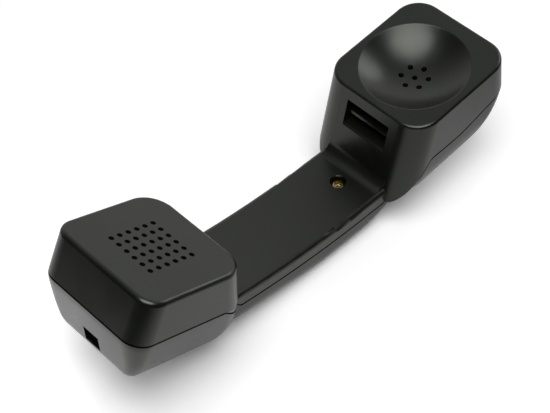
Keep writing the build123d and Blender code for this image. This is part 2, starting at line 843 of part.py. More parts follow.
def receiver_frame():
    """The receiver's cup, with a ledge for the surround and a hole for the yoke."""
    inner = receiver_radius - frame_wall
    under_ledge = ledge_drop + ledge_thickness
    body = disc(receiver_radius, frame_depth) - below(-1, disc(inner, ledge_drop + 1))
    body -= disc(ledge_inner, under_ledge)
    body -= below(under_ledge, disc(inner, frame_depth - under_ledge - frame_floor))
    body -= Cylinder(yoke_radius, 4 * frame_depth)
    for place in PolarLocations(vent_ring, 4, start_angle=45):
        body -= place * Cylinder(vent_diameter / 2, 4 * frame_depth)
    return ear_plane * below(cloth_top, body)


def spun(edges):
    """A piece of the receiver turned about its axis from a half outline."""
    return ear_plane * revolve(Plane.XZ * make_face(edges), Axis.Z)


def receiver_surround():
    """The thin rolled ring that carries the diaphragm."""
    low = -ledge_depth
    high = low + surround_thickness
    crown = (diaphragm_radius + ledge_inner) / 2
    land = 1.2
    t = surround_thickness
    return spun([
        Line((diaphragm_radius - land, low), (diaphragm_radius, low)),
        ThreePointArc((diaphragm_radius, low), (crown, low + surround_rise), (ledge_inner, low)),
        Line((ledge_inner, low), (surround_outer, low)),
        Line((surround_outer, low), (surround_outer, high)),
        Line((surround_outer, high), (ledge_inner + t, high)),
        ThreePointArc((ledge_inner + t, high), (crown, high + surround_rise), (diaphragm_radius - t, high)),
        Line((diaphragm_radius - t, high), (diaphragm_radius - land, high)),
        Line((diaphragm_radius - land, high), (diaphragm_radius - land, low)),
    ])


def receiver_diaphragm():
    """The stiff dome with its flat rim."""
    high = -ledge_depth
    low = high - diaphragm_thickness
    t = diaphragm_thickness
    r = dome_radius
    ball = (r**2 + dome_rise**2) / (2 * dome_rise)
    shoulder = sqrt(ball**2 - r**2 / 4) - ball + dome_rise
    return spun([
        Line((0, high + dome_rise - t), (0, high + dome_rise)),
        ThreePointArc((0, high + dome_rise), (r / 2, high + shoulder), (r, high)),
        Line((r, high), (diaphragm_radius, high)),
        Line((diaphragm_radius, high), (diaphragm_radius, low)),
        Line((diaphragm_radius, low), (r, low)),
        ThreePointArc((r, low), (r / 2, low + shoulder), (0, low + dome_rise)),
    ])


def receiver_coil():
    """The voice coil that hangs from the diaphragm into the magnet's gap."""
    coil = ring(coil_radius + coil_thickness, coil_radius, coil_height)
    return ear_plane * below(ledge_depth + diaphragm_thickness, coil)


def receiver_yoke():
    """The steel cup round the magnet."""
    cup = disc(yoke_radius, yoke_height) - disc(yoke_radius - yoke_wall, yoke_height - yoke_floor)
    return ear_plane * below(yoke_top, cup)


def receiver_magnet():
    """The disc magnet on the yoke's floor."""
    depth = yoke_bottom - yoke_floor - magnet_height
    return ear_plane * below(depth, disc(magnet_radius, magnet_height))


def receiver_pole():
    """The pole plate on the magnet."""
    depth = yoke_bottom - yoke_floor - magnet_height - pole_height
    return ear_plane * below(depth, disc(pole_radius, pole_height))


board_u = -(yoke_radius + 0.6 + terminal_board_length / 2)
tag_places = [Pos(board_u, v, 0) for v in (tag_pitch / 2, 1.5 * tag_pitch)]


def receiver_board():
    """The small terminal board under the receiver's frame."""
    board = flat_box(terminal_board_length, terminal_board_width, terminal_board_thickness)
    return ear_plane * Pos(board_u, 0, -board_top) * board


def receiver_tags():
    """The two solder tags on the terminal board."""
    tag = below(board_top + terminal_board_thickness, flat_box(tag_size, tag_size, tag_height))
    return [ear_plane * place * tag for place in tag_places]


def receiver_varistor():
    """The varistor across the receiver."""
    body = below(board_top + terminal_board_thickness, flat_box(varistor_size, varistor_size, varistor_height))
    return ear_plane * Pos(board_u, -tag_pitch, 0) * body


def receiver_foam():
    """The foam block that presses the receiver into its well."""
    height = ear_foam_depth - yoke_bottom
    return ear_plane * below(yoke_bottom, flat_box(ear_foam_side, ear_foam_side, height))


def microphone_felt():
    """The felt square behind the mouth holes."""
    return mouth_plane * below(face_thickness, flat_box(felt_side, felt_side, felt_thickness))


def microphone_boot():
    """The rubber boot round the capsule, open to the felt."""
    boot = disc(boot_radius, boot_lip + capsule_length) - Cylinder(capsule_window, 9 * boot_lip)
    boot -= below(boot_lip, disc(capsule_radius, 2 * capsule_length))
    return mouth_plane * below(boot_front, boot)


def microphone_capsule():
    """The capsule's can, with its small sound hole."""
    can = disc(capsule_radius, capsule_length)
    can = fillet(can.faces().sort_by(Axis.Z)[-1].edges(), 0.3)
    return mouth_plane * below(capsule_front, can - Cylinder(0.9, 1.2))


def microphone_board():
    """The round board that the capsule is soldered to."""
    return mouth_plane * below(capsule_back, disc(boot_radius - fit_gap, capsule_board_thickness))


capsule_pads = [Pos(0, side * capsule_pad_pitch / 2, 0) for side in (-1, 1)]


def microphone_pads():
    """The two solder joints on the microphone's board."""
    return [mouth_plane * place * below(bracket_front, disc(pad_radius, pad_thickness)) for place in capsule_pads]


def microphone_bracket():
    """The strap that presses the boot against the mouth face."""
    strap = flat_box(bracket_width, bracket_length, bracket_thickness)
    strap = fillet(strap.edges().filter_by(Axis.Z), 2.0)
    strap -= Cylinder(bracket_window, 4 * bracket_thickness)
    for place in bracket_sides:
        strap -= place * Cylinder(bracket_screw_diameter / 2 + running_gap, 4 * bracket_thickness)
    return mouth_plane * below(bracket_front, strap)


def mouth_foam():
    """The damping foam on the floor of the mouth block."""
    low = (mouth_foam_low[0], mouth_foam_low[1], -mouth_depth)
    block = mouth_plane * box_between(low, (mouth_foam_high[0], mouth_foam_high[1], -mouth_foam_top))
    return block & foam_room


contact_ys = [contact_pitch * (i - (contact_count - 1) / 2) for i in range(contact_count)]


def jack_housing():
    """The jack's housing, with its socket, contact grooves and tail holes."""
    housing = jack_block()
    half = jack_socket_width / 2
    bottom = jack_height - jack_socket_height / 2
    top = jack_height + jack_socket_height / 2
    back = jack_front_x + jack_socket_depth
    housing -= box_between((jack_front_x - 1, -half, bottom), (back, half, top))
    wide = contact_diameter / 2 + fit_gap
    for y in contact_ys:
        low = (jack_front_x + fit_gap, y - wide, top - fit_gap)
        housing -= box_between(low, (back, y + wide, contact_z + wide))
        hole = Rot(0, 90, 0) * Cylinder(contact_diameter / 2 + running_gap, jack_length)
        housing -= Pos(jack_back_x, y, contact_z) * hole
    return housing


def jack_contacts():
    """The four spring wires: tail, run above the socket and spring part that slopes into it."""
    wires = []
    for y in contact_ys:
        tail = (board_back_x + contact_diameter, y, contact_z)
        nose = (jack_front_x + 2 * contact_diameter, y, contact_z)
        tip = (jack_front_x + 0.7 * jack_socket_depth, y, contact_z - contact_drop)
        path = FilletPolyline(tail, nose, tip, radius=contact_diameter)
        profile = Plane(origin=tail, z_dir=(-1, 0, 0)) * Circle(contact_diameter / 2)
        wires.append(sweep(profile, path=path))
    return wires


def jack_board():
    """The board behind the jack, with holes for the contact tails."""
    half = jack_board_width / 2
    low = (jack_back_x, -half, jack_height - jack_board_tall / 2)
    board = box_between(low, (board_back_x, half, jack_height + jack_board_tall / 2))
    for y in contact_ys:
        hole = Rot(0, 90, 0) * Cylinder(contact_diameter / 2 + running_gap, jack_length)
        board -= Pos(jack_back_x, y, contact_z) * hole
    return board


board_pad_ys = [pad_pitch * (i - 1.5) for i in range(4)]


def board_pads():
    """The four solder joints on the back of the jack's board."""
    pad = Rot(0, 90, 0) * Cylinder(pad_radius, pad_thickness)
    return [Pos(board_back_x + pad_thickness / 2, y, board_pad_z) * pad for y in board_pad_ys]


def handle_weight():
    """The steel weight in the handle."""
    weight = Box(weight_length, weight_width, weight_thickness)
    weight = chamfer(weight.edges().filter_by(Axis.Z), 1.5)
    return Pos(weight_x, weight_y, weight_base + weight_thickness / 2) * weight


def weight_tape():
    """The foam tape between the weight and its cradle."""
    tape = Box(weight_length - tape_margin, weight_width - tape_margin, tape_thickness)
    return Pos(weight_x, weight_y, weight_base - tape_thickness / 2) * tape


def lead_wire(points):
    """Straight runs joined by tangent arcs, and the tightest arc's radius."""
    corners = [Vector(*p) for p in points]
    edges = []
    radii = []
    start = corners[0]
    for before, corner, after in zip(corners, corners[1:], corners[2:]):
        into = (corner - before).normalized()
        out = (after - corner).normalized()
        reach = 0.45 * min((corner - before).length, (after - corner).length)
        half_turn = radians(into.get_angle(out)) / 2
        radius = reach / tan(half_turn)
        centre = corner + (out - into).normalized() * (radius / cos(half_turn))
        middle = centre + (corner - centre).normalized() * radius
        edges += [Line(start, corner - into * reach)]
        edges += [ThreePointArc(corner - into * reach, middle, corner + out * reach)]
        start = corner + out * reach
        radii.append(round(radius, 1))
    edges.append(Line(start, corners[-1]))
    return Wire(edges), radii


def lead(name, points):
    """One insulated lead along its route."""
    path, radii = lead_wire(points)
    print(name, "bend radii", radii, "length", round(path.length, 1))
    first = Vector(*points[1]) - Vector(*points[0])
    profile = Plane(origin=points[0], z_dir=first) * Circle(lead_diameter / 2)
    return sweep(profile, path=path)


def lead_ends(plane, place, depth, straight, pad_y):
    """A lead's first and last two points, each pair square to the joint it is soldered to."""
    x, y = place.position.X, place.position.Y
    first = [tuple(plane.from_local_coords((x, y, -d))) for d in (depth, depth + straight)]
    last = [(lead_turn_x, pad_y, board_pad_z), (lead_pad_x, pad_y, board_pad_z)]
    return first, last


def receiver_leads():
    """The receiver's two leads, from its tags through the handle to the jack's board."""
    inner = lead_y - lead_pitch / 2
    outer = lead_y + lead_pitch / 2
    ear_foot = (ear_x - 18.4, ear_height - 35.9)
    mouth_foot = (board_back_x + 15.0, board_pad_z - 6.2)
    routes = [
        [(ear_foot[0], 5.6, ear_foot[1]), (41.0, 10.2, 11.4), (22.0, inner, lead_z), (-10.0, inner, lead_z),
         (-36.0, 11.1, 13.0), (-54.0, 8.6, 19.0), (mouth_foot[0], 4.4, mouth_foot[1])],
        [(ear_foot[0], 7.6, ear_foot[1] + 0.2), (41.0, 11.6, 11.4), (22.0, outer, lead_z), (-10.0, outer, lead_z),
         (-36.0, 12.4, 13.0), (-54.0, 10.1, 19.0), (mouth_foot[0], 6.2, mouth_foot[1])],
    ]
    leads = []
    for i, middle in enumerate(routes):
        pad_y = board_pad_ys[i + 2]
        first, last = lead_ends(ear_plane, tag_places[i], tag_bottom, tag_lead_straight, pad_y)
        leads.append(lead("receiver lead", first + middle + last))
    return leads


def microphone_leads():
    """The microphone's two leads, from its board down to the jack's board."""
    leads = []
    depth = bracket_front + pad_thickness
    for i, middle_y in enumerate((-2.4, 0.2)):
        middle = [(lead_turn_x + 1.6, middle_y, board_pad_z + board_lead_straight)]
        first, last = lead_ends(mouth_plane, capsule_pads[i], depth, capsule_lead_straight, board_pad_ys[i])
        leads.append(lead("microphone lead", first + middle + last))
    return leads


foam_room = round_form(back_wall + fit_gap / 2)
save("front_shell", front_shell())
save("back_shell", back_shell())
save("shell_screw", shell_screw())
save("receiver_gasket", receiver_gasket())
save("receiver_plate", receiver_plate())
save("receiver_cloth", receiver_cloth())
save("receiver_frame", receiver_frame())
save("receiver_surround", receiver_surround())
save("receiver_diaphragm", receiver_diaphragm())
save("receiver_coil", receiver_coil())
save("receiver_yoke", receiver_yoke())
save("receiver_magnet", receiver_magnet())
save("receiver_pole", receiver_pole())
save("receiver_board", receiver_board())
save("receiver_tags", *receiver_tags())
save("receiver_varistor", receiver_varistor())
save("receiver_foam", receiver_foam())
save("microphone_felt", microphone_felt())
save("microphone_boot", microphone_boot())
save("microphone_capsule", microphone_capsule())
save("microphone_board", microphone_board())
save("microphone_pads", *microphone_pads())
save("microphone_bracket", microphone_bracket())
save("bracket_screws", *bracket_screws())
save("mouth_foam", mouth_foam())
save("jack_housing", jack_housing())
save("jack_contacts", *jack_contacts())
save("jack_board", jack_board())
save("board_pads", *board_pads())
save("handle_weight", handle_weight())
save("weight_tape", weight_tape())
save("receiver_leads", *receiver_leads())
save("microphone_leads", *microphone_leads())
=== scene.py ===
# %% [markdown]
# # A telephone handset on a white table
# The handset is two moulded shells of dark grey ABS round a receiver, a microphone, a cord
# jack and a steel weight. The precise solids come from the CAD frame. This lesson gives each
# of them the finish of its real material, remakes the foam and cloth pieces as soft forms,
# splits the film ring that carries the diaphragm, and lights the handset as in a plain
# catalogue photograph.

import json
from math import pi, radians

import bmesh
import bpy
from mathutils import Matrix, Vector, noise


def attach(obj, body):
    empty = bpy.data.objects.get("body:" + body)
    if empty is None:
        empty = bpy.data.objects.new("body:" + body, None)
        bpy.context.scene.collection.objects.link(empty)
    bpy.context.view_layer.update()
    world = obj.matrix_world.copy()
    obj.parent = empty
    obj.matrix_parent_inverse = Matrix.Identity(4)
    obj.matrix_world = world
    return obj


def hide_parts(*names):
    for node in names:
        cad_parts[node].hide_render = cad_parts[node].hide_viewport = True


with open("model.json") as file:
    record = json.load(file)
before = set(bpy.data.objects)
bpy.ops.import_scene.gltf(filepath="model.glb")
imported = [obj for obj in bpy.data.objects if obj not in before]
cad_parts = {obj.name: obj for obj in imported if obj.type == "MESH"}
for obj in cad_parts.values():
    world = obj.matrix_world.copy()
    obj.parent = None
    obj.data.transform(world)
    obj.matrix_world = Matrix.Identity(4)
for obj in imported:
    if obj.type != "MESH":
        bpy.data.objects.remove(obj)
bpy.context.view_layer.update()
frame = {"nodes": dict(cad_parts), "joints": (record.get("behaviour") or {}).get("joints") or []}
nodes = frame["nodes"]
mm = 0.001

# %% [markdown]
# ## Colours and nodes
# Colours are written as the hex values that a designer reads from a swatch. Shaders work in
# linear light, so one function turns a hex value to linear red, green and blue. A material
# could be wired by hand in the shader editor, but in a script each node is one line that can
# be read and changed. So one more function adds a node: its settings are set by name, and an
# input takes either a plain value or another node's output, which it links.

# %% Colour and node helpers
mix_of_colours = {"data_type": "RGBA"}
smooth_step = {"interpolation_type": "SMOOTHSTEP"}


def linear(swatch):
    """Linear red, green, blue and alpha of a hex swatch."""
    parts = [int(swatch[i:i + 2], 16) / 255 for i in (1, 3, 5)]
    return [c / 12.92 if c <= 0.04045 else ((c + 0.055) / 1.055) ** 2.4 for c in parts] + [1.0]


def add_node(tree, kind, settings=None, **inputs):
    """Add a node to a tree; inputs are named with _ for a space, or by number as i0, i1."""
    node = tree.nodes.new(kind)
    for name, value in (settings or {}).items():
        setattr(node, name, value)
    for name, value in inputs.items():
        socket = node.inputs[int(name[1:]) if name[1:].isdigit() else name.replace("_", " ")]
        if isinstance(value, bpy.types.NodeSocket):
            tree.links.new(value, socket)
        else:
            socket.default_value = value
    return node


def start_material(name):
    """An empty node material, its tree and its coordinates in metres."""
    material = bpy.data.materials.new(name)
    material.use_nodes = True
    tree = material.node_tree
    tree.nodes.clear()
    place = add_node(tree, "ShaderNodeTexCoord").outputs["Object"]
    print("material", name)
    return material, tree, place


# %% [markdown]
# ## The shells: moulded ABS
# ABS comes from the mould with whatever the steel had. Here the mould was spark eroded to a
# fine even grain, which gives a satin surface: dark, with broad soft highlights. The real
# grain is finer, and it is drawn 0.35 mm across so that it shows. Years of hands polish the
# plastic unevenly, so the roughness also drifts over a few centimetres, and a faint speck of
# dust lies every two millimetres or so. A picture of plastic could be wrapped round the
# shells, but it would need unwrapping and would blur close up. Noise in the object's own
# coordinates needs neither, and its scale is a real size.

# %% ABS material
def moulded_abs():
    material, tree, place = start_material("moulded_abs_satin_grey")
    grain_size = 0.35 * mm
    grain_depth = 0.03 * mm
    flow_size = 24 * mm
    speck_spacing = 2.2 * mm
    dust_cover = 0.16
    grain = add_node(
        tree, "ShaderNodeTexNoise", Vector=place, Scale=1 / grain_size, Detail=2.0, Roughness=0.6
    )
    flow = add_node(
        tree, "ShaderNodeTexNoise", Vector=place, Scale=1 / flow_size, Detail=3.0, Roughness=0.5
    )
    specks = add_node(
        tree, "ShaderNodeTexVoronoi", Vector=place, Scale=1 / speck_spacing, Randomness=1.0
    )
    dust = add_node(
        tree, "ShaderNodeMapRange", Value=specks.outputs["Distance"],
        From_Min=0.03, From_Max=0.06, To_Min=dust_cover, To_Max=0.0,
    )
    clean = add_node(
        tree, "ShaderNodeMix", mix_of_colours,
        Factor=flow.outputs["Fac"], i6=linear("#0c0e0b"), i7=linear("#121411"),
    )
    dusty = add_node(
        tree, "ShaderNodeMix", mix_of_colours,
        Factor=dust.outputs[0], i6=clean.outputs[2], i7=linear("#5d5f5b"),
    )
    polish = add_node(
        tree, "ShaderNodeMapRange", Value=flow.outputs["Fac"],
        From_Min=0.3, From_Max=0.7, To_Min=0.26, To_Max=0.34,
    )
    bump = add_node(
        tree, "ShaderNodeBump", Height=grain.outputs["Fac"], Strength=0.18, Distance=grain_depth
    )
    shader = add_node(
        tree, "ShaderNodeBsdfPrincipled",
        Base_Color=dusty.outputs[2], Roughness=polish.outputs[0], Normal=bump.outputs[0],
        IOR=1.52, Specular_Tint=linear("#fafff6"),
    )
    add_node(tree, "ShaderNodeOutputMaterial", Surface=shader.outputs[0])
    return material


shell_abs = moulded_abs()

# %% [markdown]
# ## The screw and the inner metals
# The shell screw is steel with a yellow zinc plating, which has a gold tone. The inner metals
# are seen only when the handset is opened: ground steel, nickel on the magnet, drawn
# aluminium, enamelled copper wire, gold plating and tin solder. One flat colour with the
# metallic setting would do from afar, but close up it looks painted. So one function gives
# each a drift between a light and a dark colour, and fine marks at the real size of its
# finish, which change both the gloss and the surface. Where a tool or a winding left lines,
# the marks are stretched along them.

# %% Metal materials
def metal(name, light, dark, roughness, mark_size, mark_depth, stretch=(1, 1, 1)):
    material, tree, place = start_material(name)
    drift_size = 12 * mark_size
    smoothest = 0.8 * roughness
    roughest = 1.25 * roughness
    drift = add_node(
        tree, "ShaderNodeTexNoise", Vector=place, Scale=1 / drift_size, Detail=2.0
    )
    along = add_node(tree, "ShaderNodeMapping", Vector=place, Scale=stretch)
    marks = add_node(
        tree, "ShaderNodeTexNoise", Vector=along.outputs[0], Scale=1 / mark_size, Detail=3.0
    )
    colour = add_node(
        tree, "ShaderNodeMix", mix_of_colours,
        Factor=drift.outputs["Fac"], i6=linear(light), i7=linear(dark),
    )
    gloss = add_node(
        tree, "ShaderNodeMapRange", Value=marks.outputs["Fac"], To_Min=smoothest, To_Max=roughest
    )
    bump = add_node(
        tree, "ShaderNodeBump", Height=marks.outputs["Fac"], Strength=0.3, Distance=mark_depth
    )
    shader = add_node(
        tree, "ShaderNodeBsdfPrincipled",
        Base_Color=colour.outputs[2], Roughness=gloss.outputs[0], Normal=bump.outputs[0],
        Metallic=1.0,
    )
    add_node(tree, "ShaderNodeOutputMaterial", Surface=shader.outputs[0])
    return material


yellow_zinc = metal(
    "yellow_zinc_plated_steel", "#ead89a", "#cdb878", 0.2, 0.4 * mm, 0.01 * mm
)
ground_steel = metal(
    "ground_steel", "#a6a8aa", "#8e9092", 0.34, 0.2 * mm, 0.01 * mm, stretch=(0.08, 1, 1)
)
nickel = metal("nickel_plating", "#c4beb4", "#b2aca2", 0.16, 0.5 * mm, 0.004 * mm)
drawn_aluminium = metal(
    "drawn_aluminium", "#d0d2d4", "#bcbec0", 0.3, 0.15 * mm, 0.006 * mm, stretch=(1, 1, 0.1)
)
enamelled_copper = metal(
    "enamelled_copper_winding", "#b8653a", "#93492a", 0.3, 0.2 * mm, 0.05 * mm,
    stretch=(0.05, 0.05, 1),
)
gold_plating = metal("gold_plated_wire", "#e6c475", "#d2ac5e", 0.2, 0.3 * mm, 0.004 * mm)
tin_solder = metal("tin_solder", "#c2c4c6", "#a5a7a9", 0.26, 0.5 * mm, 0.02 * mm)

# %% [markdown]
# ## Inner plastics, film and boards
# The receiver's frame, the bracket and the jack are black glass-filled nylon, slightly
# fibrous and matter than the shells. The diaphragm and its surround are polyester film, thin
# and shiny. The boards are brown phenolic paper, the leads have smooth red PVC insulation,
# the varistor is dipped in blue epoxy, and the microphone sits in a black rubber boot. Each
# could have its own nodes, but they differ in colour, gloss and grain alone, so one function
# makes them all.

# %% Plastic materials
def plastic(name, light, dark, roughness, grain_size, grain_depth, specular=0.5):
    material, tree, place = start_material(name)
    drift_size = 20 * grain_size
    smoothest = 0.85 * roughness
    roughest = 1.15 * roughness
    grain = add_node(
        tree, "ShaderNodeTexNoise", Vector=place, Scale=1 / grain_size, Detail=3.0
    )
    drift = add_node(
        tree, "ShaderNodeTexNoise", Vector=place, Scale=1 / drift_size, Detail=2.0
    )
    colour = add_node(
        tree, "ShaderNodeMix", mix_of_colours,
        Factor=drift.outputs["Fac"], i6=linear(light), i7=linear(dark),
    )
    gloss = add_node(
        tree, "ShaderNodeMapRange", Value=drift.outputs["Fac"], To_Min=smoothest, To_Max=roughest
    )
    bump = add_node(
        tree, "ShaderNodeBump", Height=grain.outputs["Fac"], Strength=0.3, Distance=grain_depth
    )
    shader = add_node(
        tree, "ShaderNodeBsdfPrincipled",
        Base_Color=colour.outputs[2], Roughness=gloss.outputs[0], Normal=bump.outputs[0],
        Specular_IOR_Level=specular,
    )
    add_node(tree, "ShaderNodeOutputMaterial", Surface=shader.outputs[0])
    return material


black_nylon = plastic(
    "glass_filled_nylon_black", "#1c1c1d", "#141415", 0.5, 0.3 * mm, 0.02 * mm
)
polyester_film = plastic(
    "polyester_film_amber", "#b9a878", "#a59566", 0.14, 0.8 * mm, 0.003 * mm
)
phenolic_board = plastic(
    "phenolic_paper_board", "#8a5a2e", "#744a25", 0.46, 0.25 * mm, 0.01 * mm
)
blue_epoxy = plastic("dipped_epoxy_blue", "#1f3f73", "#18335f", 0.22, 0.6 * mm, 0.01 * mm)
red_pvc = plastic("pvc_insulation_red", "#8c1f1a", "#781814", 0.34, 0.4 * mm, 0.004 * mm)
black_rubber = plastic(
    "moulded_rubber_black", "#1b1b1b", "#151515", 0.62, 0.2 * mm, 0.01 * mm, specular=0.35
)

# %% [markdown]
# ## Foam and acoustic cloth
# Open-cell foam is a mass of holes about half a millimetre across. The holes could be cut
# one by one, but the mesh would be huge, so the shader takes a cell pattern for both the
# height and a painted shade inside the holes: the foam's colour is darkest at each cell's
# centre. The acoustic cloth is black felt: hardly any gloss, a fibrous bump and a soft sheen
# at grazing angles.

# %% Foam and felt materials
def open_cell_foam():
    material, tree, place = start_material("open_cell_foam_charcoal")
    cell_size = 0.55 * mm
    cell_depth = 0.2 * mm
    cells = add_node(
        tree, "ShaderNodeTexVoronoi", Vector=place, Scale=1 / cell_size, Randomness=1.0
    )
    # Painted shade: the foam is darkest at each cell's centre, where the holes are.
    colour = add_node(
        tree, "ShaderNodeMix", mix_of_colours,
        Factor=cells.outputs["Distance"], i6=linear("#0c0c0d"), i7=linear("#3d3d3f"),
    )
    bump = add_node(
        tree, "ShaderNodeBump", Height=cells.outputs["Distance"], Strength=0.9,
        Distance=cell_depth,
    )
    shader = add_node(
        tree, "ShaderNodeBsdfPrincipled",
        Base_Color=colour.outputs[2], Roughness=0.95, Normal=bump.outputs[0],
        Specular_IOR_Level=0.15,
    )
    add_node(tree, "ShaderNodeOutputMaterial", Surface=shader.outputs[0])
    return material


def acoustic_felt():
    material, tree, place = start_material("acoustic_felt_black")
    fibre_size = 0.12 * mm
    fibre_depth = 0.08 * mm
    fibres = add_node(
        tree, "ShaderNodeTexNoise", Vector=place, Scale=1 / fibre_size, Detail=6.0, Distortion=1.5
    )
    colour = add_node(
        tree, "ShaderNodeMix", mix_of_colours,
        Factor=fibres.outputs["Fac"], i6=linear("#070707"), i7=linear("#1e1e1e"),
    )
    bump = add_node(
        tree, "ShaderNodeBump", Height=fibres.outputs["Fac"], Strength=0.7, Distance=fibre_depth
    )
    shader = add_node(
        tree, "ShaderNodeBsdfPrincipled",
        Base_Color=colour.outputs[2], Roughness=1.0, Normal=bump.outputs[0],
        Specular_IOR_Level=0.05, Sheen_Weight=0.2,
    )
    add_node(tree, "ShaderNodeOutputMaterial", Surface=shader.outputs[0])
    return material


foam = open_cell_foam()
felt = acoustic_felt()

# %% [markdown]
# ## Give every solid its finish
# A solid from the frame keeps its mesh, which already carries the normals of its true curved
# faces. Only its material changes. The finish could be set piece by piece, but a list by
# material shows at a glance which pieces share one.

# %% Materials by node
finishes = {
    shell_abs: ["front_shell", "back_shell"],
    yellow_zinc: ["shell_screw"],
    ground_steel: ["receiver_yoke", "receiver_pole", "bracket_screws", "handle_weight"],
    nickel: ["receiver_magnet"],
    drawn_aluminium: ["receiver_plate", "microphone_capsule"],
    enamelled_copper: ["receiver_coil"],
    gold_plating: ["jack_contacts"],
    tin_solder: ["receiver_tags", "microphone_pads", "board_pads"],
    black_nylon: ["receiver_frame", "microphone_bracket", "jack_housing"],
    polyester_film: ["receiver_diaphragm", "receiver_surround"],
    phenolic_board: ["receiver_board", "microphone_board", "jack_board"],
    blue_epoxy: ["receiver_varistor"],
    red_pvc: ["receiver_leads", "microphone_leads"],
    black_rubber: ["microphone_boot"],
    foam: ["receiver_gasket", "receiver_foam", "mouth_foam", "weight_tape"],
    felt: ["receiver_cloth", "microphone_felt"],
}
for material, names in finishes.items():
    for name in names:
        piece = nodes[name]
        piece.data.materials.clear()
        piece.data.materials.append(material)
print("finishes", len(finishes), "nodes", sum(len(names) for names in finishes.values()))

# %% [markdown]
# ## Soft pieces
# Foam blocks, the gasket, the tape, the dust cloth and the felt are cut from sheet and
# squeezed in place, so their edges are round and their faces a little uneven. A cloth
# simulation could press them, but they sit between hard walls and hardly move. So each is
# remade from a copy of its solid's mesh: its edges are bevelled, and its points are moved by
# smooth noise, always inward, so that it stays in the space its solid holds. The foam blocks
# move by up to a quarter of a millimetre, and the thin cloth by two hundredths.

# %% Remake the soft pieces
weld_distance = 0.001 * mm
flat_angle = radians(2)
edge_angle = radians(40)
ripple_size = 3 * mm


def add_object(name, data):
    """Put a new object into the scene, made from a mesh, a lamp or a camera."""
    thing = bpy.data.objects.new(name, data)
    bpy.context.scene.collection.objects.link(thing)
    return thing


def is_sharp(edge):
    return len(edge.link_faces) == 2 and edge.calc_face_angle() > edge_angle


def soften(form, bevel, unevenness):
    """Round the edges of a form and press its faces in unevenly."""
    bmesh.ops.remove_doubles(form, verts=form.verts, dist=weld_distance)
    bmesh.ops.dissolve_limit(form, angle_limit=flat_angle, verts=form.verts, edges=form.edges)
    bmesh.ops.bevel(
        form, geom=[edge for edge in form.edges if is_sharp(edge)], affect="EDGES",
        offset=bevel, offset_type="OFFSET", segments=3, profile=0.5, clamp_overlap=True,
    )
    bmesh.ops.triangulate(form, faces=form.faces)
    bmesh.ops.subdivide_edges(form, edges=form.edges, cuts=2, use_grid_fill=True)
    form.normal_update()
    for vertex in form.verts:
        ripple = noise.noise(vertex.co / ripple_size) * 0.5 + 0.5
        vertex.co -= vertex.normal * ripple * unevenness


def soft_piece(node, name, material, bevel, unevenness):
    mesh = nodes[node].data.copy()
    mesh.name = name
    form = bmesh.new()
    form.from_mesh(mesh)
    soften(form, bevel, unevenness)
    form.to_mesh(mesh)
    form.free()
    mesh.materials.clear()
    mesh.materials.append(material)
    mesh.shade_smooth()
    piece = add_object(name, mesh)
    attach(piece, "handset")
    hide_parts(node)
    print(name, "faces", len(mesh.polygons))
    return piece


padded_pieces = [
    soft_piece("receiver_foam", "receiver_foam_block", foam, 0.9 * mm, 0.25 * mm),
    soft_piece("mouth_foam", "mouth_foam_block", foam, 0.9 * mm, 0.25 * mm),
    soft_piece("receiver_gasket", "receiver_gasket_ring", foam, 0.3 * mm, 0.08 * mm),
    soft_piece("weight_tape", "weight_tape_strip", foam, 0.15 * mm, 0.05 * mm),
    soft_piece("microphone_felt", "microphone_felt_square", felt, 0.2 * mm, 0.05 * mm),
]

# %% [markdown]
# ## The dust cloth
# The cloth behind the ear holes keeps dust out of the receiver. It is a disk stretched over
# its seat, and it is remade like the foam, with a finer bevel and less unevenness, since it is
# thin.

# %% Dust cloth
dust_cloth = soft_piece(
    "receiver_cloth", "receiver_dust_cloth", felt, 0.06 * mm, 0.02 * mm
)

# %% [markdown]
# ## The surround that carries the diaphragm
# The film ring is glued to the frame at its rim and to the diaphragm at its inner edge, and
# its roll takes up the quarter of a millimetre that the diaphragm travels. A blend from one
# body to the other runs along a straight line, but a ring moves alike all round. So the ring
# is split at the crown of its roll: the inner part rides with the diaphragm and the outer
# part stays.

# %% Split the surround
surround = nodes["receiver_surround"]
points = [vertex.co for vertex in surround.data.vertices]
ring_centre = sum(points, Vector()) / len(points)
travel = next(joint for joint in frame["joints"] if joint["name"] == "diaphragm_travel")
ring_axis = Vector(travel["axis"]).normalized()
crown_radius = 11.6 * mm


def ring_radius(point):
    """Distance of a point from the receiver's axis."""
    arm = point - ring_centre
    return (arm - ring_axis * arm.dot(ring_axis)).length


def surround_part(name, body, inside):
    form = bmesh.new()
    form.from_mesh(surround.data)
    others = [
        face for face in form.faces
        if (ring_radius(face.calc_center_median()) < crown_radius) != inside
    ]
    bmesh.ops.delete(form, geom=others, context="FACES")
    mesh = bpy.data.meshes.new(name)
    form.to_mesh(mesh)
    form.free()
    mesh.materials.append(polyester_film)
    mesh.shade_smooth()
    piece = add_object(name, mesh)
    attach(piece, body)
    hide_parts("receiver_surround")
    print(name, "faces", len(mesh.polygons))


surround_part("surround_inner_roll", "diaphragm", True)
surround_part("surround_outer_roll", "handset", False)

# %% [markdown]
# ## The table and the white background
# A catalogue photograph has a sheet of white paper on a table in a dark room. The paper is
# bright round the handset and takes its shadow. Between 12 and 34 cm out its colour is painted
# down to near black, a painted shade for the light falling away into the dark room, which is
# what the glossy plastic mirrors at its front corners. Beside the mouth end a pool of light is
# painted on the paper as a glow that every ray sees, and the walls there mirror that painted
# light. The background could be made white with more lamps, but the plastic would mirror those
# too. So the camera alone sees white all over: for camera rays the paper is pure white, with a
# glow that fills what the lamps leave dark.

# %% Table
table_half = 3.0
paper_centre = Vector((-0.03, 0.05, 0))
paper_bright = 0.12
paper_dark = 0.34
paper_glow = 0.1
# A pool of light painted on the paper beside the mouth end, as a glow.
painted_pool_centre = Vector((-0.16, 0.05, 0))
painted_pool_radius = 0.12
painted_pool_glow = 0.7


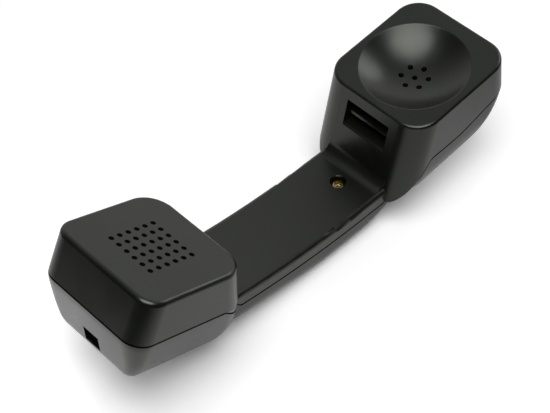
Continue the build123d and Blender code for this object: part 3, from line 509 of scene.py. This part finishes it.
def white_paper():
    material, tree, place = start_material("white_paper_sweep")
    seen = add_node(tree, "ShaderNodeLightPath").outputs["Is Camera Ray"]
    from_paper = add_node(
        tree, "ShaderNodeVectorMath", {"operation": "DISTANCE"}, i0=place, i1=paper_centre
    )
    far = add_node(
        tree, "ShaderNodeMapRange", smooth_step, Value=from_paper.outputs["Value"],
        From_Min=paper_bright, From_Max=paper_dark,
    )
    sheet = add_node(
        tree, "ShaderNodeMix", mix_of_colours,
        Factor=seen, i6=linear("#ececec"), i7=linear("#ffffff"),
    )
    # Painted shade: from 12 to 34 cm out the paper's colour falls to near black.
    colour = add_node(
        tree, "ShaderNodeMix", mix_of_colours,
        Factor=far.outputs[0], i6=sheet.outputs[2], i7=linear("#161616"),
    )
    unlit = add_node(
        tree, "ShaderNodeMath", {"operation": "ADD"}, i0=far.outputs[0], i1=paper_glow
    )
    fill = add_node(
        tree, "ShaderNodeMath", {"operation": "MULTIPLY"}, i0=seen, i1=unlit.outputs[0]
    )
    # Painted light: a glow beside the mouth end, which every ray sees and which lights the
    # handset.
    from_pool = add_node(
        tree, "ShaderNodeVectorMath", {"operation": "DISTANCE"}, i0=place, i1=painted_pool_centre
    )
    painted_pool = add_node(
        tree, "ShaderNodeMapRange", smooth_step, Value=from_pool.outputs["Value"],
        From_Min=0.0, From_Max=painted_pool_radius, To_Min=painted_pool_glow, To_Max=0.0,
    )
    glow = add_node(
        tree, "ShaderNodeMath", {"operation": "ADD"}, i0=fill.outputs[0], i1=painted_pool.outputs[0]
    )
    shader = add_node(
        tree, "ShaderNodeBsdfPrincipled",
        Base_Color=colour.outputs[2], Roughness=0.9, Specular_IOR_Level=0.0,
        Emission_Color=linear("#ffffff"), Emission_Strength=glow.outputs[0],
    )
    add_node(tree, "ShaderNodeOutputMaterial", Surface=shader.outputs[0])
    return material


signs = [(-1, -1), (1, -1), (1, 1), (-1, 1)]
table_corners = [(x * table_half, y * table_half, 0) for x, y in signs]
table_mesh = bpy.data.meshes.new("table")
table_mesh.from_pydata(table_corners, [], [(0, 1, 2, 3)])
table_mesh.materials.append(white_paper())
table = add_object("table", table_mesh)
print("table", 2 * table_half, "metres square")

# %% [markdown]
# ## Light
# The photograph's light is one large soft source overhead, a weaker one beyond the ear end,
# and a dim room that is lighter behind the handset than in front of it. A picture of a studio
# could light it all at once, but two lamps and a plain world can be matched one by one. A
# disk lamp of a given brightness needs a power of pi times its area times that brightness, so
# both softboxes are set by what the plastic mirrors.

# %% Lamps and world
aim = Vector((0.0, 0.0, 0.03))
lamp_distance = 1.0


def softbox(name, direction, diameter, brightness):
    lamp = bpy.data.lights.new(name, "AREA")
    lamp.shape = "DISK"
    lamp.size = diameter
    lamp.energy = brightness * pi * pi * (diameter / 2) ** 2
    towards = Vector(direction).normalized()
    light = add_object(name, lamp)
    light.location = aim + towards * lamp_distance
    light.rotation_euler = (-towards).to_track_quat("-Z", "Y").to_euler()
    print(name, "watts", round(lamp.energy, 2))


softbox("key_softbox", (-0.16, -0.2, 0.97), diameter=0.9, brightness=4.8)
softbox("side_softbox", (0.85, -0.1, 0.5), diameter=0.5, brightness=2.3)

room_dim = 0.04
room_light = 0.74
light_side = (0.75, 0.62, -0.2)
fade_start = -0.15
fade_end = 0.9


def dim_room():
    world = bpy.data.worlds.new("dim_room")
    bpy.context.scene.world = world
    world.use_nodes = True
    tree = world.node_tree
    tree.nodes.clear()
    place = add_node(tree, "ShaderNodeTexCoord").outputs["Generated"]
    behind = add_node(
        tree, "ShaderNodeVectorMath", {"operation": "DOT_PRODUCT"}, i0=place, i1=light_side
    )
    room = add_node(
        tree, "ShaderNodeMapRange", smooth_step, Value=behind.outputs["Value"],
        From_Min=fade_start, From_Max=fade_end, To_Min=room_dim, To_Max=room_dim + room_light,
    )
    seen = add_node(tree, "ShaderNodeLightPath").outputs["Is Camera Ray"]
    strength = add_node(
        tree, "ShaderNodeMix", {"data_type": "FLOAT"}, Factor=seen, i2=room.outputs[0], i3=1.0
    )
    light = add_node(
        tree, "ShaderNodeBackground", Color=linear("#ffffff"), Strength=strength.outputs[0]
    )
    add_node(tree, "ShaderNodeOutputWorld", Surface=light.outputs[0])


dim_room()

# %% [markdown]
# ## Camera
# The camera stands where the photograph was taken: about 60 cm from the handset, looking down
# at 50 degrees, with a long lens. It could be placed by eye, but it was worked out from the
# handset's known points, so that each edge falls where the photograph has it.

# %% Camera
camera_place = Vector((-279.173, -272.426, 481.960)) * mm
forward = Vector((0.457180, 0.460621, -0.760799))
right = Vector((0.710059, -0.704142, 0.000371))
turn = Matrix((right, right.cross(forward), -forward)).transposed()
camera_data = bpy.data.cameras.new("camera")
camera_data.lens = 98.054
camera_data.sensor_width = 36.0
camera_data.sensor_fit = "HORIZONTAL"
camera = add_object("camera", camera_data)
camera.matrix_world = Matrix.Translation(camera_place) @ turn.to_4x4()
bpy.context.scene.camera = camera
bpy.context.scene.view_settings.view_transform = "Standard"
print("camera distance in metres", round((camera_place - aim).length, 3))
